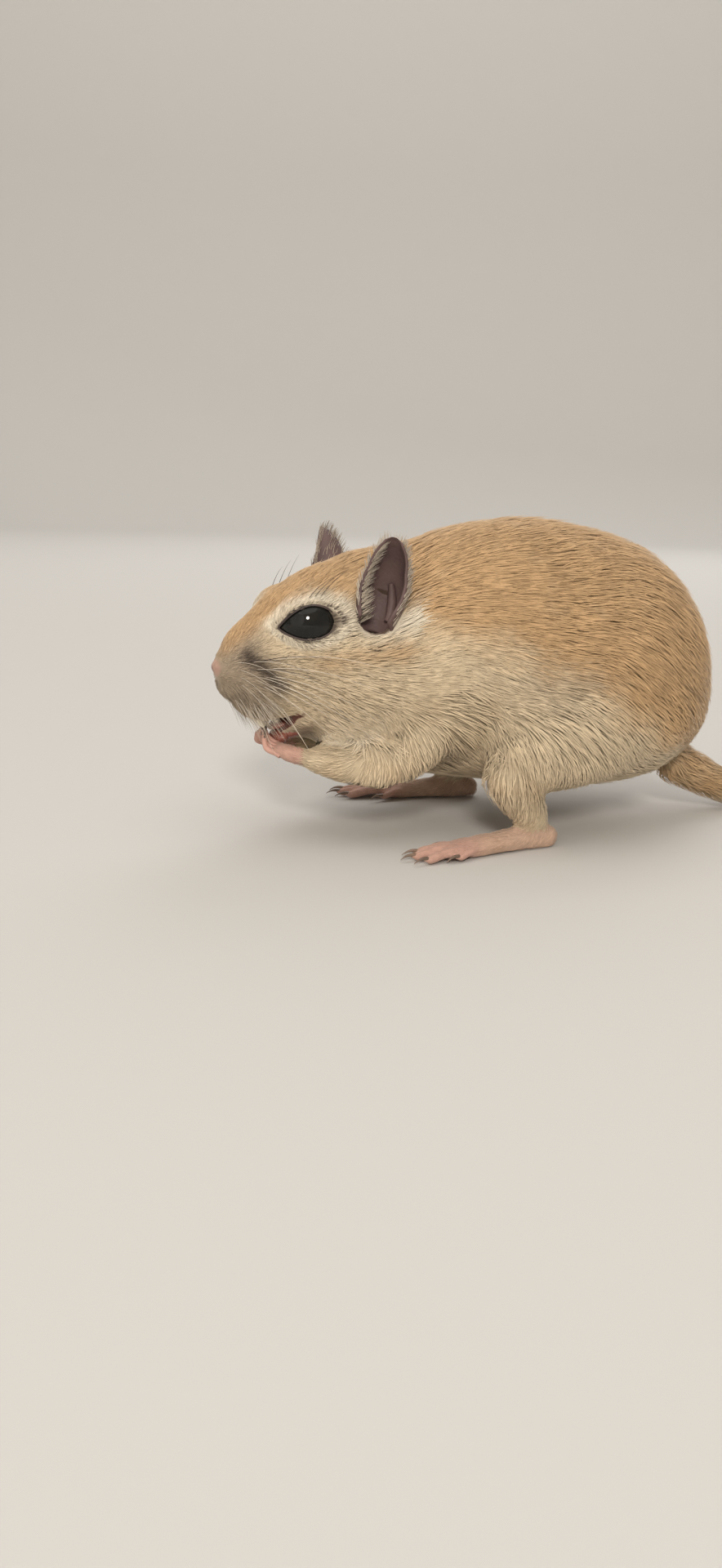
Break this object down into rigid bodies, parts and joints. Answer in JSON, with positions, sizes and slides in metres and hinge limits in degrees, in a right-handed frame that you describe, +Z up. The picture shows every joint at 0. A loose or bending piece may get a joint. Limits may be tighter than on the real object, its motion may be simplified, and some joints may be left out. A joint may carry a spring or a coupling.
{
  "type": "gerbil",
  "caption": "Life-size still model of a golden gerbil crouched on its hind feet, forepaws held up to its open mouth, tufted tail lying behind it.",
  "frame": {"origin": "middle of the animal's bounding box, on the floor it rests on", "axes": "+X from the rump to the nose, +Y to the animal's left, +Z up"},
  "size_m": [0.1808, 0.048, 0.0507],
  "materials": {
    "golden_coat": "short soft golden fur",
    "cream_coat": "short soft cream fur",
    "tuft_coat": "longer brown hair",
    "ear_skin": "thin grey-brown skin with sparse down",
    "foot_skin": "bare pink skin",
    "eye": "wet black",
    "enamel": "cream enamel",
    "claw": "horn",
    "nose_skin": "moist pink skin",
    "whisker": "stiff fine hair"
  },
  "bodies": {
    "root": {"head": "golden_coat", "neck": "golden_coat", "torso": "golden_coat", "upper_incisors": "enamel", "lower_incisors": "enamel", "tail_base": "golden_coat", "tail_middle": "golden_coat", "tail_end": "golden_coat", "tail_tuft": "tuft_coat", "eye_left": "eye", "ear_left": "ear_skin", "thigh_left": "golden_coat", "shank_left": "cream_coat", "hind_foot_left": "foot_skin", "upper_arm_left": "cream_coat", "forearm_left": "cream_coat", "forepaw_left": "foot_skin", "eye_right": "eye", "ear_right": "ear_skin", "thigh_right": "golden_coat", "shank_right": "cream_coat", "hind_foot_right": "foot_skin", "upper_arm_right": "cream_coat", "forearm_right": "cream_coat", "forepaw_right": "foot_skin"}
  },
  "joints": []
}
